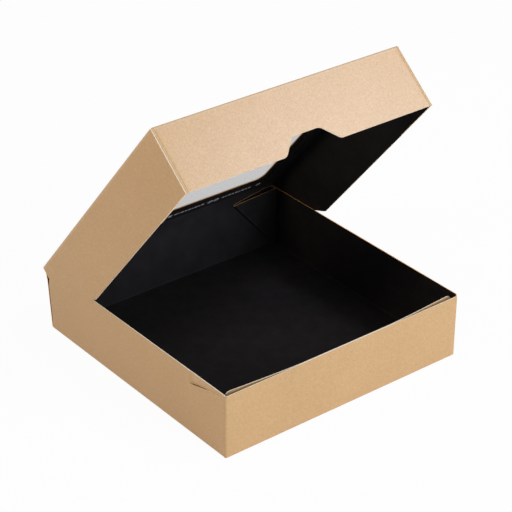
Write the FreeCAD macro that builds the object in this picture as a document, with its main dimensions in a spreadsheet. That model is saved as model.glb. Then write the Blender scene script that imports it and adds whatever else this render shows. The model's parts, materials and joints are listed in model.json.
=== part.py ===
import FreeCAD, Part
import math
import os
import Sketcher

# Pizza box of folded kraft board: a shallow tray with webbed rear corners and a doubled
# front wall, and a deep lid on a crease along the back wall, with a film window in its roof.
# Origin: centre of the tray's underside. X to the right seen from the front, Y to the back,
# Z up. Millimetres. The lid stands open at lid_open_angle degrees from closed.

doc = FreeCAD.newDocument("pizza_box")

sheet = doc.addObject("Spreadsheet::Sheet", "sizes")
driving_sizes = [
    ("board", 0.8),
    ("fold_radius", 0.6),
    ("tray_width", 255.0),
    ("tray_depth", 254.0),
    ("side_height", 61.0),
    ("front_height", 60.0),
    ("corner_radius", 1.8),
    ("front_hem", 0.3),
    ("glue_press", 0.05),
    ("hinge_height", 62.2),
    ("back_lean", 5.5),
    ("back_floor_strip", 12.0),
    ("front_floor_strip", 12.0),
    ("panel_inset", 3.0),
    ("panel_bow", 5.0),
    ("panel_bow_length", 78.0),
    ("panel_corner_radius", 6.0),
    ("slit_length", 49.2),
    ("slit_end_height", 47.7),
    ("slit_gap", 1.2),
    ("slit_mouth", 0.3),
    ("slit_taper", 5.0),
    ("web_length", 45.0),
    ("web_tip_height", 54.0),
    ("web_rear_height", 59.4),
    ("web_crown_length", 9.0),
    ("web_pocket", 3.7),
    ("lid_clearance", 0.3),
    ("lid_depth", 60.0),
    ("lid_open_angle", 50.3),
    ("hinge_gap", 0.2),
    ("rear_edge_depth", 27.0),
    ("rear_slope_length", 53.0),
    ("rear_corner_radius", 4.0),
    ("notch_width", 57.0),
    ("notch_top_width", 29.0),
    ("notch_depth", 15.0),
    ("notch_top_radius", 8.0),
    ("notch_mouth_radius", 6.0),
    ("glue_flap_length", 54.3),
    ("glue_flap_taper", 15.7),
    ("glue_flap_gap", 1.5),
    ("glue_flap_radius", 2.5),
    ("window_rear_border", 26.5),
    ("window_front_border", 26.5),
    ("window_side_border", 26.0),
    ("window_radius", 8.5),
    ("film_thickness", 0.1),
    ("film_overlap", 10.0),
    ("film_corner_radius", 5.0),
    ("cut_margin", 2.0),
]
for row, (alias, number) in enumerate(driving_sizes, start=1):
    sheet.set(f"A{row}", alias)
    sheet.set(f"B{row}", str(number))
    sheet.setAlias(f"B{row}", alias)
doc.recompute()

# Places that several pieces share, as formulas over the sheet.
half_width = "sizes.tray_width / 2"
half_depth = "sizes.tray_depth / 2"
half_board = "sizes.board / 2"
outer_fold = "sizes.fold_radius + sizes.board"
hinge_place = f"({half_depth} + sizes.back_lean)"
lean_angle = f"atan((sizes.back_lean + {half_board}) / (sizes.hinge_height - {half_board}))"
lid_half_width = f"({half_width} + sizes.lid_clearance + 2 * sizes.board)"
roof_length = f"({half_depth} + {hinge_place} + sizes.lid_clearance + sizes.board)"
lid_rim = f"({half_board} - sizes.lid_depth)"

# The three ways in which a flat outline is stood in space, before its own shift.
LYING = FreeCAD.Rotation()
FACING_FRONT = FreeCAD.Rotation(FreeCAD.Vector(1, 0, 0), 90)
SEEN_FROM_SIDE = FreeCAD.Rotation(FreeCAD.Vector(1, 1, 1), 120)

# The ends of a line or arc, as a sketch constraint numbers them.
START, END = 1, 2


def number_of(text):
    """The value of a formula over the sheet."""
    found = sheet.evalExpression(text)
    return float(getattr(found, "Value", found))


def outline(name, stand, corners, shift=None):
    """A sketch of one closed outline. Each corner is (across, up) or (across, up, radius),
    written as formulas, and a corner with a radius becomes a tangent arc."""
    sketch = doc.addObject("Sketcher::SketchObject", name)
    sketch.Placement = FreeCAD.Placement(FreeCAD.Vector(), stand)
    points = [FreeCAD.Vector(number_of(c[0]), number_of(c[1]), 0) for c in corners]
    count = len(corners)
    arcs = {}
    enters = []
    leaves = []
    for index, corner in enumerate(corners):
        place = points[index]
        into = (place - points[index - 1]).normalize()
        away = (points[(index + 1) % count] - place).normalize()
        reach = 0.0
        if len(corner) == 3:
            radius = number_of(corner[2])
            turn = into.cross(away).z
            reach = radius * math.tan(into.getAngle(away) / 2)
            side = FreeCAD.Vector(-into.y, into.x, 0) * math.copysign(radius, turn)
            arcs[index] = (place - into * reach + side, radius, turn)
        enters.append(place - into * reach)
        leaves.append(place + away * reach)
    lines = []
    for index in range(count):
        edge = Part.LineSegment(leaves[index], enters[(index + 1) % count])
        lines.append(sketch.addGeometry(edge, False))
    rules = []
    formulas = []
    for index, corner in enumerate(corners):
        before = lines[index - 1]
        after = lines[index]
        if index in arcs:
            centre, radius, turn = arcs[index]
            first, last = (enters[index], leaves[index]) if turn > 0 else (leaves[index], enters[index])
            start = math.atan2(first.y - centre.y, first.x - centre.x)
            end = math.atan2(last.y - centre.y, last.x - centre.x)
            circle = Part.Circle(centre, FreeCAD.Vector(0, 0, 1), radius)
            bend = sketch.addGeometry(Part.ArcOfCircle(circle, start, end), False)
            mark = sketch.addGeometry(Part.Point(points[index]), True)
            enter_end, leave_end = (START, END) if turn > 0 else (END, START)
            rules.append(Sketcher.Constraint("Tangent", before, END, bend, enter_end))
            rules.append(Sketcher.Constraint("Tangent", after, START, bend, leave_end))
            rules.append(Sketcher.Constraint("PointOnObject", mark, START, before))
            rules.append(Sketcher.Constraint("PointOnObject", mark, START, after))
            formulas.append((len(rules), corner[2]))
            rules.append(Sketcher.Constraint("Radius", bend, radius))
            held = mark
        else:
            rules.append(Sketcher.Constraint("Coincident", before, END, after, START))
            held = after
        formulas.append((len(rules), corner[0]))
        rules.append(Sketcher.Constraint("DistanceX", -1, 1, held, START, points[index].x))
        formulas.append((len(rules), corner[1]))
        rules.append(Sketcher.Constraint("DistanceY", -1, 1, held, START, points[index].y))
    sketch.addConstraint(rules)
    for index, text in formulas:
        sketch.setExpression(f"Constraints[{index}]", text)
    for axis, text in (shift or {}).items():
        sketch.setExpression(f"Placement.Base.{axis}", text)
    return sketch


def board_piece(name, stand, corners, length, shift=None):
    """An outline carried straight along its normal for the given length."""
    piece = doc.addObject("Part::Extrusion", name)
    piece.Base = outline(name + "_outline", stand, corners, shift)
    piece.DirMode = "Normal"
    piece.Solid = True
    piece.setExpression("LengthFwd", length)
    return piece


def joined(kind, name, pieces):
    """A fusion or intersection of several pieces."""
    whole = doc.addObject(kind, name)
    whole.Shapes = pieces
    return whole


def cut(name, base, tool):
    """The base with the tool's space taken out."""
    left = doc.addObject("Part::Cut", name)
    left.Base = base
    left.Tool = tool
    return left


def mirrored(name, source):
    """The same piece on the other side of the box."""
    twin = doc.addObject("Part::Mirroring", name)
    twin.Source = source
    twin.Normal = FreeCAD.Vector(1, 0, 0)
    return twin


# Tray: floor and both side walls as one bent strip, from the rear edge to the front corners.
side_and_floor = board_piece(
    "side_and_floor", FACING_FRONT,
    [
        (f"-{half_width}", "sizes.side_height"),
        (f"-{half_width}", "0", outer_fold),
        (half_width, "0", outer_fold),
        (half_width, "sizes.side_height"),
        (f"{half_width} - sizes.board", "sizes.side_height"),
        (f"{half_width} - sizes.board", "sizes.board", "sizes.fold_radius"),
        (f"-{half_width} + sizes.board", "sizes.board", "sizes.fold_radius"),
        (f"-{half_width} + sizes.board", "sizes.side_height"),
    ],
    "sizes.tray_depth - sizes.corner_radius",
    {"y": half_depth},
)

# Tray: the outer layer of the front wall, which turns both corners into the side walls.
front_layer = board_piece(
    "front_layer", LYING,
    [
        (f"-{half_width}", f"-{half_depth} + sizes.corner_radius + sizes.cut_margin"),
        (f"-{half_width}", f"-{half_depth}", "sizes.corner_radius"),
        (half_width, f"-{half_depth}", "sizes.corner_radius"),
        (half_width, f"-{half_depth} + sizes.corner_radius + sizes.cut_margin"),
        (f"{half_width} - sizes.board", f"-{half_depth} + sizes.corner_radius + sizes.cut_margin"),
        (f"{half_width} - sizes.board", f"-{half_depth} + sizes.board", "sizes.corner_radius - sizes.board"),
        (f"-{half_width} + sizes.board", f"-{half_depth} + sizes.board", "sizes.corner_radius - sizes.board"),
        (f"-{half_width} + sizes.board", f"-{half_depth} + sizes.corner_radius + sizes.cut_margin"),
    ],
    "sizes.front_height - sizes.front_hem",
    {"z": "sizes.front_hem"},
)

# Tray: the sloping slit at the front end of each side wall. It runs from the corner's top
# down to the crease line of the corner and gapes near that end.
slit_fall = "(sizes.front_height - sizes.slit_end_height) / sizes.slit_length"
slit_left = board_piece(
    "slit_left", SEEN_FROM_SIDE,
    [
        (f"-{half_depth} - sizes.cut_margin", "sizes.front_height"),
        (f"-{half_depth}", "sizes.front_height"),
        (f"-{half_depth} + sizes.slit_length", "sizes.slit_end_height"),
        (
            f"-{half_depth} + sizes.slit_length - sizes.slit_taper",
            f"sizes.slit_end_height + sizes.slit_taper * {slit_fall} + sizes.slit_gap",
        ),
        (f"-{half_depth}", "sizes.front_height + sizes.slit_mouth"),
        (f"-{half_depth} - sizes.cut_margin", "sizes.front_height + sizes.slit_mouth"),
    ],
    "sizes.board + 2 * sizes.cut_margin",
    {"x": f"-{half_width} - sizes.cut_margin"},
)
slit_right = mirrored("slit_right", slit_left)
side_slits = joined("Part::MultiFuse", "side_slits", [slit_left, slit_right])
wall_band = joined("Part::MultiFuse", "wall_band", [side_and_floor, front_layer])
slit_walls = cut("slit_walls", wall_band, side_slits)

# Tray: the inner layer of the front wall, folded up from the floor. Its two ends bow inwards
# at the top, and its top corners are round.
panel_end = f"({half_width} - sizes.panel_inset)"
panel_flat = f"({half_width} - sizes.panel_bow_length)"
panel_face = f"(-{half_depth} + sizes.board - sizes.glue_press)"
panel_foot = f"2 * ({outer_fold})"
panel_fold = board_piece(
    "panel_fold", SEEN_FROM_SIDE,
    [
        (f"{panel_face} + sizes.front_floor_strip", "0"),
        (f"{panel_face} + sizes.front_floor_strip", "sizes.board"),
        (f"{panel_face} + sizes.board", "sizes.board", "sizes.fold_radius"),
        (f"{panel_face} + sizes.board", panel_foot),
        (panel_face, panel_foot),
        (panel_face, "0", outer_fold),
    ],
    f"2 * {panel_end}",
    {"x": f"-{panel_end}"},
)


def panel_section(name, bow, height):
    """A level section of the inner front panel, with its ends moved inwards by the bow."""
    corners = [
        (f"-{panel_end}", f"{panel_face} + {bow}"),
        (f"-{panel_flat}", panel_face),
        (panel_flat, panel_face),
        (panel_end, f"{panel_face} + {bow}"),
        (panel_end, f"{panel_face} + {bow} + sizes.board"),
        (panel_flat, f"{panel_face} + sizes.board"),
        (f"-{panel_flat}", f"{panel_face} + sizes.board"),
        (f"-{panel_end}", f"{panel_face} + {bow} + sizes.board"),
    ]
    return outline(name, LYING, corners, {"z": height})


panel_sheet = doc.addObject("Part::Loft", "panel_sheet")
panel_sheet.Sections = [
    panel_section("panel_foot", "0", panel_foot),
    panel_section("panel_top", "sizes.panel_bow", "sizes.front_height"),
]
panel_sheet.Solid = True
panel_sheet.Ruled = True
panel_outline = board_piece(
    "panel_trim", FACING_FRONT,
    [
        (f"-{panel_end}", "0"),
        (panel_end, "0"),
        (panel_end, "sizes.front_height", "sizes.panel_corner_radius"),
        (f"-{panel_end}", "sizes.front_height", "sizes.panel_corner_radius"),
    ],
    "2 * sizes.cut_margin + sizes.panel_bow + sizes.board",
    {"y": f"-{half_depth} + sizes.cut_margin + sizes.panel_bow + sizes.board"},
)
front_panel = joined("Part::MultiCommon", "front_panel", [panel_sheet, panel_outline])

# Tray: the back wall, folded up from the floor. It leans back to the lid's crease, and its
# top edge is half round about that crease.
back_wall = board_piece(
    "back_wall", SEEN_FROM_SIDE,
    [
        (f"{half_depth} - sizes.back_floor_strip", "0"),
        (
            f"{hinge_place} + {half_board} * cos({lean_angle})"
            f" - (sizes.hinge_height - {half_board} * sin({lean_angle})) * tan({lean_angle})",
            "0", outer_fold,
        ),
        (
            f"{hinge_place} + {half_board} * cos({lean_angle})",
            f"sizes.hinge_height - {half_board} * sin({lean_angle})",
        ),
        (
            f"{hinge_place} - {half_board} * cos({lean_angle})",
            f"sizes.hinge_height + {half_board} * sin({lean_angle})",
        ),
        (
            f"{hinge_place} - {half_board} * cos({lean_angle})"
            f" - (sizes.hinge_height + {half_board} * sin({lean_angle}) - sizes.board) * tan({lean_angle})",
            "sizes.board", "sizes.fold_radius",
        ),
        (f"{half_depth} - sizes.back_floor_strip", "sizes.board"),
    ],
    "sizes.tray_width",
    {"x": f"-{half_width}"},
)
back_crease = doc.addObject("Part::Cylinder", "back_crease")
back_crease.Placement.Rotation = FreeCAD.Rotation(FreeCAD.Vector(0, 1, 0), 90)
back_crease.setExpression("Radius", half_board)
back_crease.setExpression("Height", "sizes.tray_width")
back_crease.setExpression("Placement.Base.x", f"-{half_width}")
back_crease.setExpression("Placement.Base.y", hinge_place)
back_crease.setExpression("Placement.Base.z", "sizes.hinge_height")

# Tray: the web of each rear corner. A strip carries it from the side wall to the back wall,
# one layer lies on the back wall, and the other comes back from the tip to the side wall.
# Between them they leave a narrow pocket, which is open at the top.
web_root = f"({half_depth} - sizes.web_pocket)"
web_reach = "(sizes.web_length - sizes.board)"
wall_front = (
    f"({hinge_place} - {half_board} * cos({lean_angle})"
    f" - (sizes.hinge_height + {half_board} * sin({lean_angle})) * tan({lean_angle}))"
)
web_strip = board_piece(
    "web_strip", SEEN_FROM_SIDE,
    [
        (f"{web_root} - sizes.board", half_board),
        (f"{wall_front} + {half_board} * tan({lean_angle}) + sizes.glue_press", half_board),
        (
            f"{wall_front} + sizes.web_rear_height * tan({lean_angle}) + sizes.glue_press",
            "sizes.web_rear_height",
        ),
        (f"{web_root} - sizes.board", "sizes.side_height"),
    ],
    "sizes.board + sizes.glue_press",
    {"x": f"-{half_width} + sizes.board - sizes.glue_press"},
)

web_on_wall = board_piece(
    "web_on_wall", FACING_FRONT,
    [
        ("0", half_board),
        (web_reach, "sizes.web_tip_height"),
        ("sizes.web_crown_length", "sizes.web_rear_height"),
        ("0", "sizes.web_rear_height"),
    ],
    "sizes.board",
)
web_on_wall.Placement.Rotation = FreeCAD.Rotation(FreeCAD.Vector(-1, 0, 0), 1)
web_on_wall.setExpression("Placement.Rotation.Angle", lean_angle)
web_on_wall.setExpression("Placement.Base.x", f"-{half_width} + sizes.board - sizes.glue_press")
web_on_wall.setExpression("Placement.Base.y", f"{wall_front} + sizes.glue_press")

tip_place = (
    f"({wall_front} + sizes.web_tip_height * tan({lean_angle})"
    f" - sizes.board / cos({lean_angle}) + 2 * sizes.glue_press)"
)
web_in_front = board_piece(
    "web_in_front", FACING_FRONT,
    [("0", half_board), (web_reach, "sizes.web_tip_height"), ("0", "sizes.side_height")],
    "sizes.board",
)
web_in_front.Placement.Rotation = FreeCAD.Rotation(FreeCAD.Vector(0, 0, 1), 1)
web_in_front.setExpression("Placement.Rotation.Angle", f"atan(({tip_place} - {web_root}) / {web_reach})")
web_in_front.setExpression("Placement.Base.x", f"-{half_width} + sizes.board - sizes.glue_press")
web_in_front.setExpression("Placement.Base.y", web_root)

web_left = joined("Part::MultiFuse", "web_left", [web_strip, web_on_wall, web_in_front])
web_right = mirrored("web_right", web_left)

tray = joined(
    "Part::MultiFuse", "tray",
    [slit_walls, panel_fold, front_panel, back_wall, back_crease, web_left, web_right],
)

# Lid, closed, with the hinge line as its origin: roof and both side walls as one bent strip,
# trimmed to the lid's side view, which has a sloping edge at the rear.
lid_strip = board_piece(
    "lid_strip", FACING_FRONT,
    [
        (f"-{lid_half_width}", lid_rim),
        (f"-{lid_half_width} + sizes.board", lid_rim),
        (f"-{lid_half_width} + sizes.board", f"-{half_board}", "sizes.fold_radius"),
        (f"{lid_half_width} - sizes.board", f"-{half_board}", "sizes.fold_radius"),
        (f"{lid_half_width} - sizes.board", lid_rim),
        (lid_half_width, lid_rim),
        (lid_half_width, half_board, outer_fold),
        (f"-{lid_half_width}", half_board, outer_fold),
    ],
    f"{roof_length} + sizes.cut_margin",
)
lid_rear = f"(-{half_board} - sizes.hinge_gap)"
lid_side_view = board_piece(
    "lid_side_view", SEEN_FROM_SIDE,
    [
        (lid_rear, half_board),
        (f"-{roof_length}", half_board, outer_fold),
        (f"-{roof_length}", lid_rim),
        (f"-sizes.rear_slope_length", lid_rim),
        (lid_rear, f"{half_board} - sizes.rear_edge_depth", "sizes.rear_corner_radius"),
    ],
    f"2 * {lid_half_width} + 2 * sizes.cut_margin",
    {"x": f"-{lid_half_width} - sizes.cut_margin"},
)
roof_and_sides = joined("Part::MultiCommon", "roof_and_sides", [lid_strip, lid_side_view])

# Lid: the front wall with its thumb notch.
lid_front_sheet = board_piece(
    "lid_front_sheet", SEEN_FROM_SIDE,
    [
        (f"-{roof_length} + sizes.window_front_border / 2", half_board),
        (f"-{roof_length}", half_board, outer_fold),
        (f"-{roof_length}", lid_rim),
        (f"-{roof_length} + sizes.board", lid_rim),
        (f"-{roof_length} + sizes.board", f"-{half_board}", "sizes.fold_radius"),
        (f"-{roof_length} + sizes.window_front_border / 2", f"-{half_board}"),
    ],
    f"2 * ({lid_half_width} - sizes.board)",
    {"x": f"-{lid_half_width} + sizes.board"},
)
notch_slope = "(sizes.notch_width - sizes.notch_top_width) / 2 / sizes.notch_depth"
thumb_notch = board_piece(
    "thumb_notch", FACING_FRONT,
    [
        ("-sizes.notch_width", f"{lid_rim} - sizes.cut_margin"),
        ("sizes.notch_width", f"{lid_rim} - sizes.cut_margin"),
        ("sizes.notch_width", lid_rim),
        ("sizes.notch_width / 2", lid_rim, "sizes.notch_mouth_radius"),
        ("sizes.notch_top_width / 2", f"{lid_rim} + sizes.notch_depth", "sizes.notch_top_radius"),
        ("-sizes.notch_top_width / 2", f"{lid_rim} + sizes.notch_depth", "sizes.notch_top_radius"),
        ("-sizes.notch_width / 2", lid_rim, "sizes.notch_mouth_radius"),
        ("-sizes.notch_width", lid_rim),
    ],
    "sizes.board + 2 * sizes.cut_margin",
    {"y": f"-{roof_length} + sizes.board + sizes.cut_margin"},
)
lid_front = cut("lid_front", lid_front_sheet, thumb_notch)

# Lid: the glue flap at each end of the front wall, folded back inside the side wall.
glue_flap_left = board_piece(
    "glue_flap_left", SEEN_FROM_SIDE,
    [
        (f"-{roof_length} + {half_board}", lid_rim),
        (f"-{roof_length} + sizes.glue_flap_length", lid_rim, "sizes.glue_flap_radius"),
        (
            f"-{roof_length} + sizes.glue_flap_length - sizes.glue_flap_taper",
            f"-{half_board} - sizes.glue_flap_gap", "sizes.glue_flap_radius",
        ),
        (f"-{roof_length} + {half_board}", f"-{half_board} - sizes.glue_flap_gap"),
    ],
    "sizes.board",
    {"x": f"-{lid_half_width} + sizes.board"},
)
glue_flap_right = mirrored("glue_flap_right", glue_flap_left)
lid_blank = joined(
    "Part::MultiFuse", "lid_blank",
    [roof_and_sides, lid_front, glue_flap_left, glue_flap_right],
)


def roof_field(name, margin, radius, depth, top):
    """A level plate over the window, larger than it by the margin on every side."""
    side = f"({lid_half_width} - sizes.window_side_border + {margin})"
    rear = f"(-sizes.window_rear_border + {margin})"
    front = f"(-{roof_length} + sizes.window_front_border - {margin})"
    corners = [
        (f"-{side}", front, radius),
        (side, front, radius),
        (side, rear, radius),
        (f"-{side}", rear, radius),
    ]
    return board_piece(name, LYING, corners, depth, {"z": f"{top} - {depth}"})


window = roof_field("window", "0", "sizes.window_radius", "3 * sizes.board", "1.5 * sizes.board")
lid = cut("lid", lid_blank, window)

# Window film, glued inside the roof round the window.
window_film = roof_field(
    "window_film", "sizes.film_overlap", "sizes.film_corner_radius",
    "sizes.film_thickness", f"(-{half_board})",
)

for piece in (lid, window_film):
    piece.Placement.Rotation = FreeCAD.Rotation(FreeCAD.Vector(-1, 0, 0), 1)
    piece.setExpression("Placement.Rotation.Angle", "sizes.lid_open_angle")
    piece.setExpression("Placement.Base.y", hinge_place)
    piece.setExpression("Placement.Base.z", "sizes.hinge_height")

doc.recompute()
for item in doc.Objects:
    if "Invalid" in item.State or "Error" in item.State:
        raise RuntimeError(f"{item.Name} failed: {item.State}")

os.makedirs("parts", exist_ok=True)
for node in (tray, lid, window_film):
    shape = node.Shape
    if shape.isNull() or not shape.isValid():
        raise RuntimeError(f"{node.Label} has no valid shape")
    if len(shape.Solids) != 1:
        raise RuntimeError(f"{node.Label} has {len(shape.Solids)} solids")
    shape.exportStep(f"parts/{node.Label}.step")
    box = shape.BoundBox
    print(f"{node.Label} {shape.Volume:.1f} mm3, {box.XMin:.2f} {box.XMax:.2f} {box.YMin:.2f}"
          f" {box.YMax:.2f} {box.ZMin:.2f} {box.ZMax:.2f}")
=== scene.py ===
import json
import math
import bmesh
import bpy
import numpy as np
from mathutils import Matrix, Vector


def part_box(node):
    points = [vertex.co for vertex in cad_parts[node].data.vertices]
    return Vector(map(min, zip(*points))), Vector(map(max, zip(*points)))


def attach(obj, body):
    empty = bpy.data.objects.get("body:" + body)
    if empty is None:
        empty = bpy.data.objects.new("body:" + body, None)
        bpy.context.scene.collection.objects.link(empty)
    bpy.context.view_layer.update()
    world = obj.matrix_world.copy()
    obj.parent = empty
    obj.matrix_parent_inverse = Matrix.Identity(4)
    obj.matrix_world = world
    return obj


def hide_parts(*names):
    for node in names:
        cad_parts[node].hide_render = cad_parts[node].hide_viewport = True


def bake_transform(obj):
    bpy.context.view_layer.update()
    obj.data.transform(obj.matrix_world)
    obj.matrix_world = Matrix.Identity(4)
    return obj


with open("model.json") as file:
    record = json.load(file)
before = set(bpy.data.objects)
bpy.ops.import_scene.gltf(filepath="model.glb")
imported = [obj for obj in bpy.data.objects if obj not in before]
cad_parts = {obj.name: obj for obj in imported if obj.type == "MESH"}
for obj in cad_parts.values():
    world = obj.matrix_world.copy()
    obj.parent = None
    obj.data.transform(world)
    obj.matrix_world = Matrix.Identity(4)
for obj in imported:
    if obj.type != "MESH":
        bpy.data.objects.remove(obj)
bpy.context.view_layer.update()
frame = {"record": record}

# Kraft board.
# The box is cut from one sheet of brown paper board, 0.8 mm thick, printed matt black on
# the side that ends up inside. The cut edges show the raw brown core.
MM = 0.001
BOARD = 0.8
FOLD = 1.4
FOLD_STEPS = 6
JOIN_WITHIN = 0.01
TOO_SMALL = 0.001
SHARP_DEGREES = 32


def ease(share):
    """Rises from 0 to 1 with level ends: 3t^2 - 2t^3."""
    t = np.clip(share, 0.0, 1.0)
    return t * t * (3 - 2 * t)


def node_of(tree, kind, **settings):
    """A shader node with its plain sockets set by name, or by number as in_3."""
    node = tree.nodes.new(kind)
    for key, value in settings.items():
        if key.startswith("in_"):
            node.inputs[int(key[3:])].default_value = value
        elif hasattr(node, key):
            setattr(node, key, value)
        else:
            node.inputs[key].default_value = value
    return node


def grain_noise(tree, scale, stretch=(1, 1, 1), detail=2.0, roughness=0.5):
    """Noise on Object coordinates, in cycles per metre, stretched along the axes."""
    place = tree.nodes.new("ShaderNodeTexCoord")
    turn = node_of(tree, "ShaderNodeMapping", in_3=stretch)
    tree.links.new(place.outputs["Object"], turn.inputs[0])
    noise = node_of(tree, "ShaderNodeTexNoise", Scale=scale, Detail=detail, Roughness=roughness)
    tree.links.new(turn.outputs[0], noise.inputs["Vector"])
    return noise.outputs[0]


def ramp(tree, value, low, high, low_out=0.0, high_out=1.0):
    """A clamped linear change of range."""
    node = node_of(tree, "ShaderNodeMapRange", in_1=low, in_2=high, in_3=low_out, in_4=high_out)
    tree.links.new(value, node.inputs[0])
    return node.outputs[0]


def blend_colour(tree, share, first, second, mode="MIX"):
    """Two colours mixed by a share, which may be a number or a socket."""
    node = node_of(tree, "ShaderNodeMix", data_type="RGBA", blend_type=mode)
    for socket, value in ((node.inputs[0], share), (node.inputs[6], first), (node.inputs[7], second)):
        if isinstance(value, bpy.types.NodeSocket):
            tree.links.new(value, socket)
        elif isinstance(value, (int, float)):
            socket.default_value = value
        else:
            socket.default_value = (*value, 1.0)
    return node.outputs[2]


def bumped(tree, heights, distance, strength):
    """A bump from a height socket, with its depth in metres."""
    node = node_of(tree, "ShaderNodeBump", Distance=distance, Strength=strength)
    tree.links.new(heights, node.inputs["Height"])
    return node.outputs[0]


def finish(name, roughness, specular):
    """A new material with its Principled shader."""
    material = bpy.data.materials.new(name)
    material.use_nodes = True
    shader = material.node_tree.nodes["Principled BSDF"]
    shader.inputs["Roughness"].default_value = roughness
    shader.inputs["Specular IOR Level"].default_value = specular
    return material, material.node_tree, shader


def fold_wear_and_highlight(tree):
    """Wear and a painted highlight on a fold: the piece's own fold attribute times a noise between
    0.55 and 1.
    """
    mark = node_of(tree, "ShaderNodeAttribute", attribute_name="fold")
    breaks = ramp(tree, grain_noise(tree, 700.0), 0.3, 0.7, 0.55, 1.0)
    product = node_of(tree, "ShaderNodeMath", operation="MULTIPLY")
    tree.links.new(mark.outputs["Fac"], product.inputs[0])
    tree.links.new(breaks, product.inputs[1])
    return product.outputs[0]


KRAFT_DEEP = (0.470, 0.268, 0.106)
KRAFT_BROWN = (0.575, 0.343, 0.147)
KRAFT_PALE = (0.690, 0.427, 0.196)
KRAFT_FIBRE_AND_FOLD_LIGHT = (0.700, 0.500, 0.300)
KRAFT_SPECK = (0.200, 0.105, 0.045)
KRAFT_ROUGH = 0.34
KRAFT_SMOOTH = 0.28
KRAFT_SPECULAR = 0.4
MOTTLE_SCALE = 620.0
MOTTLE_EVENED = 0.42
MOTTLE_DEPTH = 0.00004
CLOUD_SCALE = 26.0
CLOUD_SHARE = 0.10
FIBRE_SCALE = 900.0
FIBRE_STRETCH = (1.0, 0.16, 0.5)
FIBRE_SHARE = 0.22
SPECK_SCALE = 190.0
SPECK_SHARE = 0.75
KRAFT_WEAR_AND_HIGHLIGHT = 0.5
kraft, tree, shader = finish("kraft_paper", KRAFT_ROUGH, KRAFT_SPECULAR)
mottle = ramp(tree, grain_noise(tree, MOTTLE_SCALE, detail=3.0, roughness=0.7), 0.30, 0.70)
colour = blend_colour(tree, mottle, KRAFT_DEEP, KRAFT_PALE)
colour = blend_colour(tree, MOTTLE_EVENED, colour, KRAFT_BROWN)
cloud = ramp(tree, grain_noise(tree, CLOUD_SCALE, detail=3.0), 0.3, 0.7)
cloudy = blend_colour(tree, cloud, KRAFT_DEEP, KRAFT_PALE)
colour = blend_colour(tree, CLOUD_SHARE, colour, cloudy)
fibre = ramp(tree, grain_noise(tree, FIBRE_SCALE, FIBRE_STRETCH, 2.0, 0.6), 0.56, 0.74)
colour = blend_colour(tree, ramp(tree, fibre, 0.0, 1.0, 0.0, FIBRE_SHARE), colour, KRAFT_FIBRE_AND_FOLD_LIGHT)
speckled = node_of(tree, "ShaderNodeTexVoronoi", Scale=SPECK_SCALE)
place = tree.nodes.new("ShaderNodeTexCoord")
tree.links.new(place.outputs["Object"], speckled.inputs["Vector"])
spot = ramp(tree, speckled.outputs["Distance"], 0.05, 0.11, 1.0, 0.0)
chosen = ramp(tree, speckled.outputs["Color"], 0.70, 0.95, 0.0, SPECK_SHARE)
speck = node_of(tree, "ShaderNodeMath", operation="MULTIPLY")
tree.links.new(spot, speck.inputs[0])
tree.links.new(chosen, speck.inputs[1])
colour = blend_colour(tree, speck.outputs[0], colour, KRAFT_SPECK)
# Folds are painted lighter. This is partly wear of the board and partly a painted highlight where a
# fold would catch the light.
kraft_fold_light = ramp(tree, fold_wear_and_highlight(tree), 0.0, 1.0, 0.0, KRAFT_WEAR_AND_HIGHLIGHT)
colour = blend_colour(tree, kraft_fold_light, colour, KRAFT_FIBRE_AND_FOLD_LIGHT)
tree.links.new(colour, shader.inputs["Base Color"])
tree.links.new(bumped(tree, mottle, MOTTLE_DEPTH, 0.5), shader.inputs["Normal"])
gloss = ramp(tree, mottle, 0.0, 1.0, KRAFT_ROUGH, KRAFT_SMOOTH)
tree.links.new(gloss, shader.inputs["Roughness"])

BLACK_INK = (0.0133, 0.0114, 0.0114)
BLACK_DUSTY = (0.0194, 0.0166, 0.0166)
BLACK_RUBBED_AND_LIT = (0.045, 0.040, 0.040)
BLACK_ROUGH = 0.66
BLACK_SPECULAR = 0.05
BLACK_WEAR_AND_HIGHLIGHT = 0.6
DUST_SCALE = 60.0
TOOTH_SCALE = 900.0
TOOTH_DEPTH = 0.00003
black, tree, shader = finish("black_print", BLACK_ROUGH, BLACK_SPECULAR)
dust = ramp(tree, grain_noise(tree, DUST_SCALE, detail=5.0, roughness=0.65), 0.35, 0.7)
colour = blend_colour(tree, dust, BLACK_INK, BLACK_DUSTY)
# The print is painted lighter on folds. This is partly rubbing and partly a painted highlight.
black_fold_light = ramp(tree, fold_wear_and_highlight(tree), 0.0, 1.0, 0.0, BLACK_WEAR_AND_HIGHLIGHT)
colour = blend_colour(tree, black_fold_light, colour, BLACK_RUBBED_AND_LIT)
tree.links.new(colour, shader.inputs["Base Color"])
tooth = bumped(tree, grain_noise(tree, TOOTH_SCALE), TOOTH_DEPTH, 0.5)
tree.links.new(tooth, shader.inputs["Normal"])

CORE_ORANGE = (0.800, 0.350, 0.100)
CORE_TAN = (0.920, 0.480, 0.170)
CORE_PAINTED_LIGHT = (0.930, 0.790, 0.590)
CORE_SCALE = 900.0
core, tree, shader = finish("cut_edge", 0.75, 0.3)
layers = ramp(tree, grain_noise(tree, CORE_SCALE, detail=3.0), 0.3, 0.7)
colour = blend_colour(tree, layers, CORE_ORANGE, CORE_TAN)
# Each patch carries a share of painted light for its cut edges. Edges are pale where they face the
# light and stay orange where they lie in shade.
lit_edge_mark = node_of(tree, "ShaderNodeAttribute", attribute_name="edge_light")
colour = blend_colour(tree, lit_edge_mark.outputs["Fac"], colour, CORE_PAINTED_LIGHT)
tree.links.new(colour, shader.inputs["Base Color"])


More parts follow.
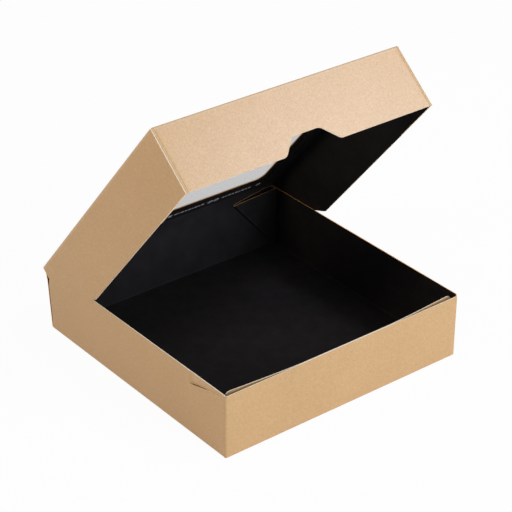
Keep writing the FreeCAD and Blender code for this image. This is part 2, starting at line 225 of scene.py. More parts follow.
def board_piece(name, body, node, patches, outside=kraft, edge=core, thickness=BOARD):
    """Board folded from several patches, each a grid of points of its outer side, a direction
    that it faces, how much wear and painted highlight its folds get, and how much painted light
    its cut edges get. Patches that share a line are joined there, and the board's thickness is laid
    on the inner side."""
    points = []
    quads = []
    folds = []
    edge_lights = []
    start = 0
    for grid, outward, fold, edge_light in patches:
        rows, columns = grid.shape[:2]
        numbers = start + np.arange(rows * columns).reshape(rows, columns)
        across = grid[:-1, 1:] - grid[:-1, :-1]
        along = grid[1:, :-1] - grid[:-1, :-1]
        facing = np.cross(across, along).sum(axis=(0, 1)) @ np.array(outward, float)
        ring = [numbers[:-1, :-1], numbers[:-1, 1:], numbers[1:, 1:], numbers[1:, :-1]]
        if facing < 0:
            ring.reverse()
        quads.append(np.stack(ring, axis=-1).reshape(-1, 4))
        points.append(grid.reshape(-1, 3))
        folds.append(np.broadcast_to(fold, (rows, columns)).ravel())
        edge_lights.append(np.broadcast_to(edge_light, (rows, columns)).ravel())
        start += rows * columns
    mesh = bpy.data.meshes.new(name)
    mesh.from_pydata(np.concatenate(points) * MM, [], np.concatenate(quads).tolist())
    for title, marks in (("fold", folds), ("edge_light", edge_lights)):
        layer = mesh.attributes.new(title, "FLOAT", "POINT")
        layer.data.foreach_set("value", np.concatenate(marks).astype(np.float32))
    work = bmesh.new()
    work.from_mesh(mesh)
    bmesh.ops.remove_doubles(work, verts=work.verts, dist=JOIN_WITHIN * MM)
    bmesh.ops.dissolve_degenerate(work, edges=work.edges, dist=TOO_SMALL * MM)
    work.to_mesh(mesh)
    work.free()
    piece = bpy.data.objects.new(name, mesh)
    bpy.context.collection.objects.link(piece)
    for material in (outside, black, edge):
        mesh.materials.append(material)
    thick = piece.modifiers.new("thickness", "SOLIDIFY")
    thick.thickness = thickness * MM
    thick.offset = -1
    thick.material_offset = 1
    thick.material_offset_rim = 2
    shaped = piece.evaluated_get(bpy.context.evaluated_depsgraph_get())
    solid = bpy.data.meshes.new_from_object(shaped)
    piece.modifiers.clear()
    piece.data = solid
    solid.name = name
    solid.polygons.foreach_set("use_smooth", np.ones(len(solid.polygons), bool))
    solid.set_sharp_from_angle(angle=math.radians(SHARP_DEGREES))
    even = piece.modifiers.new("flat_panels", "WEIGHTED_NORMAL")
    even.keep_sharp = True
    if body:
        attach(piece, body)
    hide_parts(node)
    return piece


def spread(*stops):
    """Places from stop to stop. Each stop after the first is (place, number of steps)."""
    places = [np.array([stops[0]], float)]
    for end, steps in stops[1:]:
        places.append(np.linspace(places[-1][-1], end, steps + 1)[1:])
    return np.concatenate(places)


def stack(x, y, z):
    """A grid of points from three arrays that broadcast together."""
    return np.stack(np.broadcast_arrays(x, y, z), axis=-1).astype(float)


# Tray.
# Floor, side walls and back wall fold up from one panel. The side walls turn the front
# corners into the outer front layer, and a web inside each rear corner takes up the excess.
tray_low, tray_high = (np.array(corner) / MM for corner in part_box("tray"))
hinge = frame["record"]["behaviour"]["joints"][0]
hinge_y, hinge_z = hinge["pos_m"][1] / MM, hinge["pos_m"][2] / MM
HALF = tray_high[0]
FRONT = tray_low[1]
REAR = -FRONT
SIDE_TOP = 61.0
FRONT_TOP = 60.0
CORNER = 1.8
FRONT_HEM = 0.3
SLIT_LENGTH = 49.2
SLIT_END = 47.7
SLIT_OUT = 0.27
SLIT_IN = 1.40
SLIT_FADE = 24.0
RUBBED_SPOT = 0.9
RUBBED_SHARE = 0.6
floor_edge = HALF - FOLD
wall_start = FRONT + CORNER
wall_end = REAR - FOLD
slit_y = FRONT + SLIT_LENGTH
wall_y = spread(wall_start, (slit_y - 5.0, 26), (slit_y, 8), (wall_end - 2.5, 44), (wall_end, 2))
quarter = np.linspace(0.0, math.pi / 2, FOLD_STEPS + 1)
patches = []


def slit_line(y):
    """Height of the slit along a side wall: straight from the corner's top down to its end."""
    slanting = FRONT_TOP - (FRONT_TOP - SLIT_END) * (y - FRONT) / SLIT_LENGTH
    return np.where(y < slit_y, slanting, SLIT_END)


def slit_gape(y):
    """How far the slit stands open, as a share: an ease from 0 to 1 over the first ninth from
    its end, times an ease down to 0.15 at the corner."""
    back = (slit_y - y) / SLIT_LENGTH
    return ease(back / 0.11) * (1 - 0.85 * ease((back - 0.11) / 0.8)) * (back > 0)


# The lower band runs along its plan from the left rear, round the front, to the right rear.
turn = np.linspace(math.pi, 1.5 * math.pi, FOLD_STEPS + 1)[1:-1]
front_x = spread(-HALF + CORNER, (-HALF + 6.0, 2), (HALF - 6.0, 90), (HALF - CORNER, 2))
left_x = np.full(len(wall_y), -HALF)
arc_x = -HALF + CORNER + CORNER * np.cos(turn)
arc_y = FRONT + CORNER + CORNER * np.sin(turn)
band_x = np.concatenate([left_x, arc_x, front_x, -arc_x[::-1], -left_x])
band_y = np.concatenate([wall_y[::-1], arc_y, np.full(len(front_x), FRONT), arc_y[::-1], wall_y])
on_wall = np.abs(band_x) >= HALF - 1e-6
band_foot = np.where(on_wall, FOLD, FRONT_HEM)
band_top = np.where(on_wall, slit_line(band_y), FRONT_TOP)
rise = spread(0.0, (0.05, 2), (0.95, 22), (1.0, 2))[:, None]
band_z = band_foot + (band_top - band_foot) * rise
gape = slit_gape(band_y) * on_wall * ease((band_z - band_top + SLIT_FADE) / SLIT_FADE)
off_corner = (np.abs(band_x) - HALF) ** 2 + (band_y - FRONT) ** 2
near_corner = RUBBED_SHARE * np.exp(-off_corner / RUBBED_SPOT ** 2)
band = stack(band_x + np.sign(band_x) * SLIT_OUT * gape, band_y, band_z)
patches.append((band, (0, -1, 0), near_corner * np.ones_like(rise), 1.0))

# Above the slit each side wall goes on to its top edge. Its free corner leans inwards.
upper = np.linspace(0.0, 1.0, 9)[:, None]
upper_z = slit_line(wall_y) + (SIDE_TOP - slit_line(wall_y)) * upper
sunk = SLIT_IN * slit_gape(wall_y) * (1 - upper) ** 0.8
for side in (-1, 1):
    # The left wall's top edge is painted pale as if lit. The right wall's top edge stays orange as if
    # in shade.
    edge_light = 1.0 if side < 0 else 0.0
    patches.append((stack(side * (HALF - sunk), wall_y, upper_z), (side, 0, 0), 0.0, edge_light))

# The folds between floor and side walls, and the floor.
arc_in = FOLD * np.sin(quarter)[:, None]
arc_up = FOLD * (1 - np.cos(quarter))[:, None]
for side in (-1, 1):
    patches.append((stack(side * (floor_edge + arc_in), wall_y, arc_up), (side, 0, -1), 0.5, 0.5))
PANEL_END = 124.5
PANEL_ROUND = 6.0
round_x = PANEL_END - PANEL_ROUND + PANEL_ROUND * np.sin(quarter)
flat_x = spread(-round_x[0], (round_x[0], 70))
floor_x = np.concatenate([[-floor_edge], -round_x[:0:-1], flat_x, round_x[1:], [floor_edge]])
patches.append((stack(floor_x, wall_y[:, None], 0.0), (0, 0, -1), 0.0, 0.5))

# The inner layer of the front wall. Its ends bow inwards towards the top.
PANEL_BOW = 5.0
BOW_LENGTH = 75.0
panel_fold = 1.0
panel_x = floor_x[1:-1]
outer = np.abs(panel_x) - (PANEL_END - PANEL_ROUND)
panel_top = np.where(
    outer > 0,
    FRONT_TOP - PANEL_ROUND + np.sqrt(np.clip(PANEL_ROUND ** 2 - outer ** 2, 0.0, None)),
    FRONT_TOP,
)
reach = np.clip((np.abs(panel_x) - PANEL_END + BOW_LENGTH) / BOW_LENGTH, 0.0, 1.0)
bow = PANEL_BOW * reach ** 1.25
panel_rise = spread(0.0, (0.04, 2), (0.96, 20), (1.0, 2))[:, None]
panel_z = panel_fold + (panel_top - panel_fold) * panel_rise
panel_y = FRONT + BOARD + bow * (panel_z / FRONT_TOP) ** 1.1
patches.append((stack(panel_x, panel_y, panel_z), (0, -1, 0), 0.0, 1.0))
bend_y = wall_start - panel_fold * np.sin(quarter)[:, None]
bend_z = panel_fold * (1 - np.cos(quarter))[:, None]
patches.append((stack(panel_x, bend_y, bend_z), (0, -1, -1), 0.5, 0.5))

# The back wall, leaning back to the crease.
lean = math.atan((hinge_y - REAR + BOARD / 2) / (hinge_z - FOLD))
back_turn = np.linspace(0.0, math.pi / 2 - lean, FOLD_STEPS + 1)[:, None]
CREASE_REACH = 1.4
FLARE = 0.75
FLARE_FROM = 45.0
FLARE_RUN = 12.0


def back_face(z):
    """The brown side of the back wall at a height: a plane that leans back from its fold."""
    return wall_end + FOLD / math.cos(lean) + (z - FOLD) * math.tan(lean)


bend_y = wall_end + FOLD * np.sin(back_turn)
bend_z = FOLD * (1 - np.cos(back_turn))
patches.append((stack(floor_x, bend_y, bend_z), (0, 1, -1), 0.5, 0.2))
foot_z = np.array([[bend_z[-1, 0]], [FOLD]])
patches.append((stack(floor_x, back_face(foot_z), foot_z), (0, 1, 0), 0.0, 0.2))
back_z = spread(FOLD, (hinge_z - CREASE_REACH, 18))[:, None]
back_half = HALF - 0.1 + FLARE * ease((back_z - FLARE_FROM) / FLARE_RUN)
back_x = np.concatenate([-back_half, floor_x + 0 * back_z, back_half], axis=1)
patches.append((stack(back_x, back_face(back_z), back_z), (0, 1, 0), 0.0, 0.2))

# The rear end of each side wall bends inwards, and a rounded corner closes it to the floor.
wall_rows = np.concatenate([band_z[:, 0], upper_z[1:, -1]])
for side in (-1, 1):
    bend_x = floor_edge + FOLD * np.cos(quarter)
    bend_y = wall_end + FOLD * np.sin(quarter)
    patches.append((stack(side * bend_x, bend_y, wall_rows[:, None]), (side, 1, 0), 0.6, 0.15))
    ball_x = floor_edge + FOLD * np.sin(quarter)[:, None] * np.cos(quarter)
    ball_y = wall_end + FOLD * np.sin(quarter)[:, None] * np.sin(quarter)
    ball_z = FOLD * (1 - np.cos(quarter))[:, None]
    patches.append((stack(side * ball_x, ball_y, ball_z), (side, 1, -1), 0.6, 0.15))

# Each side wall's rear end follows the leaning back wall, and stays short of it near the top,
# where the corner stands open.
FOLLOW_RUN = 12.0
FOLLOW_GAP = 0.15
OPEN_SHARE = 0.5
OPEN_FROM = 40.0
OPEN_RUN = 14.0
for grid, _, _, _ in patches:
    height = grid[..., 2]
    room = np.clip(back_face(height) - BOARD - FOLLOW_GAP - wall_end - FOLD, 0.0, None)
    room = room * (1 - OPEN_SHARE * ease((height - OPEN_FROM) / OPEN_RUN))
    on_side = np.abs(grid[..., 0]) > HALF - FOLD - JOIN_WITHIN
    before_back = grid[..., 1] < wall_end + FOLD + JOIN_WITHIN
    follow = ease((grid[..., 1] - wall_end + FOLLOW_RUN) / FOLLOW_RUN)
    grid[..., 1] += room * follow * on_side * before_back

# Rear corner webs.
# In each rear corner the board goes on from the side wall to the back wall, lies flat on it,
# folds back at a slanting crease and returns to the side wall, with a pocket between.
WEB_TIP_X = 82.5
WEB_TIP_Z = 54.0
WEB_CROWN = 59.4
WEB_RISE = 0.15
WEB_FOOT_X = 126.5
WEB_FOOT_Z = 0.9
JOINT_FOOT_Z = 5.4
WEB_ROOT_Y = REAR - 4.5
WEB_CLOSE = BOARD + 0.1
WEB_SEAT = 0.15
WEB_FOOT_BACK = 1.8
WEB_FOOT_RUN = 2.5
JOINT_INSET = 0.65
JOINT_RUN = 3.6
PINCH_LOW = 1.9
PINCH_HIGH = 3.0
up_fold = spread(0.0, (1.0, 32))[:, None]
to_wall = spread(0.0, (1.0, 18))
fold_x = WEB_FOOT_X + (WEB_TIP_X - WEB_FOOT_X) * up_fold
fold_z = WEB_FOOT_Z + (WEB_TIP_Z - WEB_FOOT_Z) * up_fold
rear_y = back_face(fold_z) - WEB_CLOSE
pinch = PINCH_LOW + (PINCH_HIGH - PINCH_LOW) * up_fold
fold_run = math.hypot(WEB_FOOT_X - WEB_TIP_X, WEB_TIP_Z - WEB_FOOT_Z)
off_x = (WEB_FOOT_Z - WEB_TIP_Z) / fold_run
off_z = (WEB_TIP_X - WEB_FOOT_X) / fold_run
half_turn = np.linspace(0.0, math.pi, 11)


def web_root(z):
    """Where the web leaves the side wall: one place, and an ease further back at its foot."""
    return WEB_ROOT_Y + WEB_FOOT_BACK * (1 - ease((z - WEB_FOOT_Z) / WEB_FOOT_RUN))


web_patches = []
for side in (-1, 1):
    front_x = fold_x + (HALF - BOARD + WEB_SEAT - fold_x) * to_wall
    front_z = fold_z + (SIDE_TOP - 0.1 - WEB_TIP_Z) * up_fold * to_wall
    front_y = rear_y - pinch
    front_y = front_y + (web_root(front_z[:, -1:]) - front_y) * to_wall
    web_patches.append((stack(side * front_x, front_y, front_z), (0, -1, 0), 0.0, 0.1))
    turn_x = fold_x + off_x * pinch / 2 * np.sin(half_turn)
    turn_y = rear_y - pinch / 2 * (1 + np.cos(half_turn))
    turn_z = fold_z + off_z * pinch / 2 * np.sin(half_turn)
    web_patches.append((stack(side * turn_x, turn_y, turn_z), (-side, 0, -1), 0.7, 0.1))
    flat_x = fold_x + (floor_edge - fold_x) * to_wall
    crown = np.minimum(WEB_RISE * (floor_edge - WEB_TIP_X) * to_wall, WEB_CROWN - WEB_TIP_Z)
    flat_z = fold_z + crown * up_fold
    flat_y = back_face(flat_z) - WEB_CLOSE
    web_patches.append((stack(side * flat_x, flat_y, flat_z), (0, 1, 0), 0.0, 0.1))
    joint_top = SIDE_TOP - 0.05 + (WEB_CROWN - SIDE_TOP + 0.05) * to_wall
    joint_z = JOINT_FOOT_Z + (joint_top - JOINT_FOOT_Z) * up_fold
    joint_y = web_root(joint_z) + 0.8 * BOARD
    joint_y = joint_y + (back_face(joint_z) - WEB_CLOSE - joint_y) * to_wall
    joint_x = floor_edge + JOINT_INSET * (1 - ease((joint_y - WEB_ROOT_Y) / JOINT_RUN))
    patches.append((stack(side * joint_x, joint_y, joint_z), (side, 0, 0), 0.0, 0.1))
board_piece("tray_board", "tray", "tray", patches)
board_piece("tray_webs", "tray", "tray", web_patches, outside=black)


# Lid.
# Roof, front wall and side walls fold from one panel. A flap at each end of the front wall
# is glued inside the side wall, and the roof is cut out for the window.
LID_DEPTH = 60.0
LID_PLAY = 0.3
lid_half = HALF + LID_PLAY + 2 * BOARD
lid_length = hinge_y - FRONT + LID_PLAY + BOARD
open_turn = math.radians(-hinge["range_deg"][0])


def on_lid(x, reach, depth):
    """Points given by x, the distance from the hinge along the roof, and the depth under the
    roof's brown side, as they stand with the lid open."""
    fall = BOARD / 2 - depth
    y = hinge_y - reach * math.cos(open_turn) + fall * math.sin(open_turn)
    z = hinge_z + reach * math.sin(open_turn) + fall * math.cos(open_turn)
    return stack(x, y, z)


roof_out = (0.0, math.sin(open_turn), math.cos(open_turn))
front_out = (0.0, -math.cos(open_turn), math.sin(open_turn))
WINDOW_REAR = 26.5
WINDOW_FRONT = 26.5
WINDOW_SIDE = 26.0
WINDOW_ROUND = 8.5
GROOVE = 2.6
GROOVE_DEPTH = 0.22
GROOVE_WIDTH = 0.35
# Runs over which folds and edges are painted lighter, partly as wear and partly as a painted
# highlight.
FOLD_LIGHT_RUN = 2.2
ROOF_LIGHT_RUN = 2.5
SIDE_LIGHT_RUN = 3.4
window_x = lid_half - WINDOW_SIDE
window_far = lid_length - WINDOW_FRONT
lid_edge = lid_half - FOLD
flap_turn = 0.9
wall_x = lid_half - BOARD - flap_turn
side_x = spread(window_x - WINDOW_ROUND, (window_x, 1), (lid_half - 5.0, 6))
groove_x = lid_half - GROOVE + np.array([-0.6, -0.3, 0.0, 0.3])
half_x = np.concatenate([spread(34.0, (side_x[0], 16)), side_x[1:], groove_x, [wall_x, lid_edge]])
lid_x = np.concatenate([-half_x[::-1], spread(-34.0, (34.0, 68))[1:-1], half_x])
start_reach = CREASE_REACH
end_reach = lid_length - FOLD
lid_s = spread(
    start_reach, (start_reach + 2.5, 2), (WINDOW_REAR, 6), (WINDOW_REAR + WINDOW_ROUND, 1),
    (window_far - WINDOW_ROUND, 50), (window_far, 1), (end_reach - 2.5, 6), (end_reach, 2),
)
patches = []


def span(values, low, high):
    """The places of a run from low to high, both included."""
    return values[(values > low - 1e-6) & (values < high + 1e-6)]


def roof_patch(x, reach):
    """A level piece of the roof, with wear and a painted highlight towards its front fold."""
    edge = ease(1 - (reach[-1] - reach) / ROOF_LIGHT_RUN) * (reach[-1] > end_reach - 1)
    patches.append((on_lid(x, reach[:, None], 0.0), roof_out, edge[:, None], 0.25))


roof_patch(lid_x, span(lid_s, start_reach, WINDOW_REAR))
roof_patch(lid_x, span(lid_s, window_far, end_reach))
for side in (-1, 1):
    border_x = span(side * lid_x, window_x, lid_edge) * side
    roof_patch(border_x, span(lid_s, WINDOW_REAR, window_far))
    for corner_s, ahead in ((WINDOW_REAR, 1), (window_far, -1)):
        angle = np.linspace(0.0, math.pi / 2, 9)
        round_x = side * (window_x - WINDOW_ROUND + WINDOW_ROUND * np.cos(angle))
        round_s = corner_s + ahead * (WINDOW_ROUND - WINDOW_ROUND * np.sin(angle))
        toward = np.array([[0.0], [1.0]])
        fan_x = side * window_x + (round_x - side * window_x) * toward
        fan_s = corner_s + (round_s - corner_s) * toward
        patches.append((on_lid(fan_x, fan_s, 0.0), roof_out, 0.0, 0.25))

# The front wall with its thumb notch: a flat top, round corners and sloping sides.
NOTCH_HALF = 28.5
NOTCH_FLAT = 14.5
NOTCH_DEPTH = 15.0
NOTCH_INNER = 8.0
NOTCH_OUTER = 6.0
notch_slope = math.atan(NOTCH_DEPTH / (NOTCH_HALF - NOTCH_FLAT))


def rim_depth(x):
    """Depth of the front wall's lower edge: level, an arc, a slope, an arc and the rim."""
    x = np.abs(x)
    top = LID_DEPTH - NOTCH_DEPTH
    inner_start = NOTCH_FLAT - NOTCH_INNER * math.tan(notch_slope / 2)
    inner_end = inner_start + NOTCH_INNER * math.sin(notch_slope)
    outer_end = NOTCH_HALF + NOTCH_OUTER * math.tan(notch_slope / 2)
    outer_start = outer_end - NOTCH_OUTER * math.sin(notch_slope)
    inner_rise = np.sqrt(np.clip(NOTCH_INNER ** 2 - (x - inner_start) ** 2, 0, None))
    outer_rise = np.sqrt(np.clip(NOTCH_OUTER ** 2 - (outer_end - x) ** 2, 0, None))
    inner = top + NOTCH_INNER - inner_rise
    outer = LID_DEPTH - NOTCH_OUTER + outer_rise
    slope = top + (x - NOTCH_FLAT) * math.tan(notch_slope)
    return np.select(
        [x < inner_start, x < inner_end, x < outer_start, x < outer_end],
        [top, inner, slope, outer], LID_DEPTH,
    )


drop = spread(0.0, (0.04, 2), (1.0, 24))[:, None]
front_x = span(lid_x, -wall_x, wall_x)
front_depth = FOLD + (rim_depth(front_x) - FOLD) * drop
from_groove = np.abs(front_x) - lid_half + GROOVE
pressed = GROOVE_DEPTH * np.exp(-((from_groove / GROOVE_WIDTH) ** 2))
# The front wall is painted lighter near its side folds and its top fold, partly as wear and partly as
# a painted highlight.
near_side = ease(1 - (lid_half - np.abs(front_x)) / SIDE_LIGHT_RUN)
front_fold = np.maximum(near_side, ease(1 - (front_depth - FOLD) / FOLD_LIGHT_RUN))
patches.append((on_lid(front_x, lid_length - pressed, front_depth), front_out, front_fold, 0.9))
top_reach = end_reach + FOLD * np.sin(quarter)[:, None] - pressed * np.sin(quarter)[:, None]
top_depth = FOLD * (1 - np.cos(quarter))[:, None]
patches.append((on_lid(front_x, top_reach, top_depth), front_out, 1.0, 0.9))

# The side walls, with a sloping rear edge, and the flaps inside their front ends.
REAR_EDGE = 27.0
REAR_SLOPE = 53.0
REAR_ROUND = 4.0
REAR_OVER = -3.2
rear_fall = math.atan((LID_DEPTH - REAR_EDGE) / REAR_SLOPE)


def side_rim(reach):
    """Depth of a side wall's edge: an arc at the rear, a slope, then the level rim."""
    slope = REAR_EDGE + np.minimum(reach, REAR_SLOPE) * math.tan(rear_fall)
    touch = REAR_OVER + REAR_ROUND * (1 - math.sin(rear_fall))
    centre = REAR_EDGE + touch * math.tan(rear_fall) - REAR_ROUND * math.cos(rear_fall)
    from_centre = np.clip(REAR_OVER + REAR_ROUND - reach, 0.0, REAR_ROUND)
    return np.where(reach < touch, centre + np.sqrt(REAR_ROUND ** 2 - from_centre ** 2), slope)


join_s = np.concatenate([lid_s, [lid_length - 0.7, lid_length - 0.25]])
rear_s = REAR_OVER + np.array([0.0, 0.15, 0.45, 0.9, 1.5, 2.3])
wall_s = np.concatenate([rear_s, join_s])
FLAP_LENGTH = 54.3
FLAP_TAPER = 15.7
for side in (-1, 1):
    depth = FOLD + (side_rim(wall_s) - FOLD) * drop
    fold = ease(1 - (depth - FOLD) / FOLD_LIGHT_RUN)
    patches.append((on_lid(side * lid_half, wall_s, depth), (side, 0, 0), fold, 0.9))
    over = lid_edge + FOLD * np.sin(quarter)[:, None]
    down = FOLD * (1 - np.cos(quarter))[:, None]
    patches.append((on_lid(side * over, wall_s, down), (side, 0, 0), 1.0, 0.9))
    flap_depth = FOLD + (LID_DEPTH - FOLD) * drop
    bend_x = wall_x + flap_turn * np.sin(quarter)
    bend_s = lid_length - flap_turn + flap_turn * np.cos(quarter)
    patches.append((on_lid(side * bend_x, bend_s, flap_depth), front_out, 1.0, 0.5))
    flap_end = lid_length - FLAP_LENGTH + FLAP_TAPER * (1 - drop)
    flap_s = flap_end + (lid_length - flap_turn - flap_end) * spread(0.0, (1.0, 12))
    patches.append((on_lid(side * (wall_x + flap_turn), flap_s, flap_depth), (side, 0, 0), 0.0, 0.5))
board_piece("lid_board", "lid", "lid", patches)

# Crease.
# The lid bends along the top of the back wall, where the board is pressed to a line. A
# narrow strip stays on the back wall at one edge and on the roof at the other.
CREASE_PROUD = 0.03
CREASE_LAP = 0.25
CREASE_OFF = BOARD / 2 + CREASE_PROUD
wall_normal = np.array([math.cos(lean), -math.sin(lean)])
wall_along = np.array([math.sin(lean), math.cos(lean)])
roof_along = np.array([-math.cos(open_turn), math.sin(open_turn)])
roof_normal = np.array([math.sin(open_turn), math.cos(open_turn)])
share = np.linspace(0.0, 1.0, 7)[:, None]
swing = wall_normal + (roof_normal - wall_normal) * share
swing /= np.linalg.norm(swing, axis=1, keepdims=True)
mid_line = np.concatenate([
    -wall_along * (CREASE_REACH + CREASE_LAP) + wall_normal * CREASE_OFF + np.zeros((1, 2)),
    swing * CREASE_OFF,
    roof_along * (CREASE_REACH + CREASE_LAP) + roof_normal * CREASE_OFF + np.zeros((1, 2)),
])
strip = stack(lid_x, hinge_y + mid_line[:, :1], hinge_z + mid_line[:, 1:])
crease = board_piece(
    "lid_crease", None, "lid", [(strip, (0, 1, 1), 0.2, 0.0)],
    edge=black, thickness=BOARD + 2 * CREASE_PROUD,
)
hinge_line = np.array([hinge_y, hinge_z])
foot_y, foot_z = (hinge_line - CREASE_REACH * wall_along) * MM
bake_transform(crease)

# Print.
# A row of plain marks in white ink on the black strip of the roof beside the crease: runs of
# short dashes, two rings between them, and a small square of four dots at either end.
MARK_REACH = 11.0
MARK_LIFT = 0.03
DASH_HEIGHT = 1.9
DASH_STARTS = (8.5, 63.5)
DOTS_AT = (3.5, 106.5)
DOT_OFF = 1.3
DOT_HALF = 0.9
RINGS_AT = (49.8, 56.8)
RING_RADII = ((0.6, 1.2), (2.1, 2.8))
INK_GREY = (0.60, 0.59, 0.58)
INK_WHITE = (0.92, 0.91, 0.90)
ink, tree, shader = finish("white_ink", 0.6, 0.3)
patchy = ramp(tree, grain_noise(tree, 1600.0), 0.3, 0.6)
colour = blend_colour(tree, patchy, INK_GREY, INK_WHITE)
tree.links.new(colour, shader.inputs["Base Color"])
dash_run = np.cumsum([0.0, 3.9, 3.1, 4.9, 3.6, 4.4, 2.9, 4.7, 3.5])
dash_long = np.array([2.7, 1.7, 3.6, 2.1, 3.2, 1.6, 3.4, 2.0, 2.9])
corners_x = []
corners_s = []
for run_start in DASH_STARTS:
    low = run_start + dash_run
    corners_x.append(np.stack([low, low + dash_long, low + dash_long, low], axis=-1))
    across = np.array([-0.5, -0.5, 0.5, 0.5]) * DASH_HEIGHT + MARK_REACH
    corners_s.append(np.broadcast_to(across, (len(low), 4)))
for dot_x in DOTS_AT:
    for right, ahead in ((-1, -1), (1, -1), (1, 1), (-1, 1)):
        square_x = DOT_HALF * np.array([[-1, 1, 1, -1]])
        square_s = DOT_HALF * np.array([[-1, -1, 1, 1]])
        corners_x.append(dot_x + right * DOT_OFF + square_x)
        corners_s.append(MARK_REACH + ahead * DOT_OFF + square_s)
ring_turn = np.linspace(0.0, 2 * math.pi, 25)
for ring_x in RINGS_AT:
    for inner, outer in RING_RADII:
        cos, sin = np.cos(ring_turn), np.sin(ring_turn)
        ends_x = [inner * cos[:-1], outer * cos[:-1], outer * cos[1:], inner * cos[1:]]
        ends_s = [inner * sin[:-1], outer * sin[:-1], outer * sin[1:], inner * sin[1:]]
        corners_x.append(ring_x + np.stack(ends_x, axis=-1))
        corners_s.append(MARK_REACH + np.stack(ends_s, axis=-1))
mark_points = on_lid(np.concatenate(corners_x), np.concatenate(corners_s), BOARD + MARK_LIFT)
mark_points = mark_points.reshape(-1, 3)
mesh = bpy.data.meshes.new("print_marks")
numbers = np.arange(len(mark_points)).reshape(-1, 4)
mesh.from_pydata(mark_points * MM, [], numbers.tolist())
mesh.materials.append(ink)
work = bmesh.new()
work.from_mesh(mesh)
for face in work.faces:
    if face.normal.dot(Vector(roof_out)) > 0:
        face.normal_flip()
work.to_mesh(mesh)
work.free()
marks = bpy.data.objects.new("print_marks", mesh)
bpy.context.collection.objects.link(marks)
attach(marks, "lid")
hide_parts("lid")

# Window film.
# A sheet of clear film, glued inside the roof with a margin round the window. It lies flat
# but for a slight ripple, which shows in its shine.
FILM_MARGIN = 10.0
FILM_ROUND = 5.0
FILM_GLUE = 0.04
FILM_THICK = 0.1
FILM_SAG = 0.10
FILM_RIPPLE = 0.10
FILM_FREE = 12.0
FILM_ALPHA = 0.255
FILM_DARK = (0.030, 0.020, 0.014)
FILM_HAZY = (0.045, 0.028, 0.020)
film_s = spread(
    WINDOW_REAR - FILM_MARGIN, (WINDOW_REAR - FILM_MARGIN + FILM_ROUND, 6),
    (window_far + FILM_MARGIN - FILM_ROUND, 50), (window_far + FILM_MARGIN, 6),
)[:, None]
from_end = np.minimum(film_s - film_s[0], film_s[-1] - film_s)
into_round = np.clip(FILM_ROUND - from_end, 0, None)
inset = FILM_ROUND - np.sqrt(np.clip(FILM_ROUND ** 2 - into_round ** 2, 0, None))
film_x = np.linspace(-1.0, 1.0, 61) * (window_x + FILM_MARGIN - inset)
inside = ease((window_x - np.abs(film_x)) / FILM_FREE) * ease((film_s - WINDOW_REAR) / FILM_FREE)
inside = inside * ease((window_far - film_s) / FILM_FREE)
across = np.sin(film_x / 21.0 + 0.8 * np.sin(film_s / 34.0))
ripple = FILM_RIPPLE * across * np.sin(film_s / 27.0 + 0.5)
film_grid = on_lid(film_x, film_s, BOARD + FILM_GLUE + inside * (FILM_SAG + ripple))
film_tint, tree, shader = finish("clear_film", 0.30, 0.15)
shader.inputs["Alpha"].default_value = FILM_ALPHA
haze = ramp(tree, grain_noise(tree, 24.0, detail=3.0), 0.3, 0.7)
film_colour = blend_colour(tree, haze, FILM_DARK, FILM_HAZY)
tree.links.new(film_colour, shader.inputs["Base Color"])
tree.links.new(bumped(tree, grain_noise(tree, 60.0), 0.0002, 0.2), shader.inputs["Normal"])
rows, columns = film_grid.shape[:2]
numbers = np.arange(rows * columns).reshape(rows, columns)
quads = np.stack([numbers[:-1, :-1], numbers[1:, :-1], numbers[1:, 1:], numbers[:-1, 1:]], axis=-1)
mesh = bpy.data.meshes.new("window_film_sheet")
mesh.from_pydata(film_grid.reshape(-1, 3) * MM, [], quads.reshape(-1, 4).tolist())
mesh.materials.append(film_tint)
film = bpy.data.objects.new("window_film_sheet", mesh)
bpy.context.collection.objects.link(film)
thin = film.modifiers.new("thickness", "SOLIDIFY")
thin.thickness = FILM_THICK * MM
thin.offset = -1
mesh.polygons.foreach_set("use_smooth", np.ones(len(mesh.polygons), bool))
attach(film, "lid")
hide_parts("window_film")

# Floor, light and camera.
# A pale studio floor in an even white surround, a key lamp high at the front right, a broad
# soft lamp low in front, and a slightly warm fill from the left.
FLOOR_SPAN = 6.0
FLOOR_GREY = (0.86, 0.86, 0.86, 1)
FLOOR_GLOW = 0.96
AMBIENT = 0.25


def looked_at(tree):
    """1 for a ray from the camera or one that a glossy or clear surface sends on, else 0: the
    largest of Light Path's three outputs."""
    rays = tree.nodes.new("ShaderNodeLightPath")
    either = node_of(tree, "ShaderNodeMath", operation="MAXIMUM")
    gloss = node_of(tree, "ShaderNodeMath", operation="MAXIMUM")
    tree.links.new(rays.outputs["Is Glossy Ray"], gloss.inputs[0])
    tree.links.new(rays.outputs["Is Transmission Ray"], gloss.inputs[1])
    tree.links.new(rays.outputs["Is Camera Ray"], either.inputs[0])
    tree.links.new(gloss.outputs[0], either.inputs[1])
    return either.outputs[0]


floor_mesh = bpy.data.meshes.new("studio_floor")
floor_corners = [(x * FLOOR_SPAN, y * FLOOR_SPAN, 0) for x, y in ((-1, -1), (1, -1), (1, 1), (-1, 1))]
floor_mesh.from_pydata(floor_corners, [], [(0, 1, 2, 3)])
studio_floor = bpy.data.objects.new("studio_floor", floor_mesh)
bpy.context.collection.objects.link(studio_floor)
floor_paint = bpy.data.materials.new("floor_paint")
floor_paint.use_nodes = True
tree = floor_paint.node_tree
tree.nodes.clear()
plain = node_of(tree, "ShaderNodeBsdfDiffuse", Color=FLOOR_GREY)
glow = node_of(tree, "ShaderNodeEmission", Color=(1, 1, 1, 1), Strength=1.0)
part = node_of(tree, "ShaderNodeMath", operation="MULTIPLY", in_1=FLOOR_GLOW)
tree.links.new(looked_at(tree), part.inputs[0])
mixed = tree.nodes.new("ShaderNodeMixShader")
tree.links.new(part.outputs[0], mixed.inputs[0])
tree.links.new(plain.outputs[0], mixed.inputs[1])
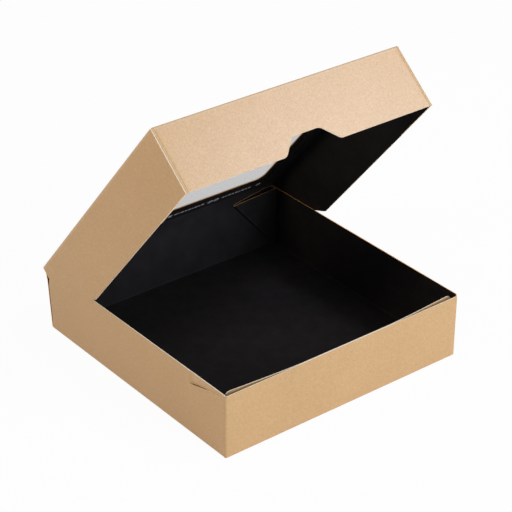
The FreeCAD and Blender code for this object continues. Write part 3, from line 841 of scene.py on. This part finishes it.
tree.links.new(glow.outputs[0], mixed.inputs[2])
output = tree.nodes.new("ShaderNodeOutputMaterial")
tree.links.new(mixed.outputs[0], output.inputs[0])
floor_mesh.materials.append(floor_paint)

world = bpy.data.worlds.new("studio")
bpy.context.scene.world = world
world.use_nodes = True
tree = world.node_tree
surround = tree.nodes["Background"]
surround.inputs[0].default_value = (1, 1, 1, 1)
tree.links.new(ramp(tree, looked_at(tree), 0.0, 1.0, AMBIENT, 1.0), surround.inputs[1])


def lamp(name, place, aim, size, power, tint):
    """A square area lamp that faces a point, a little warm or cool in tint."""
    light = bpy.data.lights.new(name, "AREA")
    light.size = size
    light.energy = power
    light.color = tint
    holder = bpy.data.objects.new(name, light)
    bpy.context.collection.objects.link(holder)
    holder.location = place
    holder.rotation_euler = (Vector(aim) - Vector(place)).to_track_quat("-Z", "Y").to_euler()


BOX_MIDDLE = (0.0, 0.0, 0.1)
COOL = (0.96, 1.04, 1.20)
WARM = (1.00, 0.91, 0.77)
lamp("key", (1.40, -0.96, 1.96), BOX_MIDDLE, 0.55, 16.5, COOL)
lamp("front_softbox", (0.55, -1.60, 0.66), BOX_MIDDLE, 1.0, 19.5, COOL)
lamp("left_fill", (-2.05, 0.35, 1.10), BOX_MIDDLE, 0.6, 17, WARM)

camera_data = bpy.data.cameras.new("camera")
CAMERA_SENSOR = 36.0
CAMERA_LENS = 137.62
camera_data.sensor_width = CAMERA_SENSOR
camera_data.lens = CAMERA_LENS
camera = bpy.data.objects.new("camera", camera_data)
bpy.context.collection.objects.link(camera)
camera_place = Vector((-0.9182, -1.1495, 0.9372))
camera_forward = Vector((0.54195, 0.67524, -0.50033))
CAMERA_ROLL = 0.5
facing = camera_forward.to_track_quat("-Z", "Y").to_matrix()
roll = Matrix.Rotation(math.radians(CAMERA_ROLL), 3, "Z")
camera.matrix_world = Matrix.Translation(camera_place) @ (facing @ roll).to_4x4()
bpy.context.scene.camera = camera
bpy.context.scene.view_settings.view_transform = "Standard"
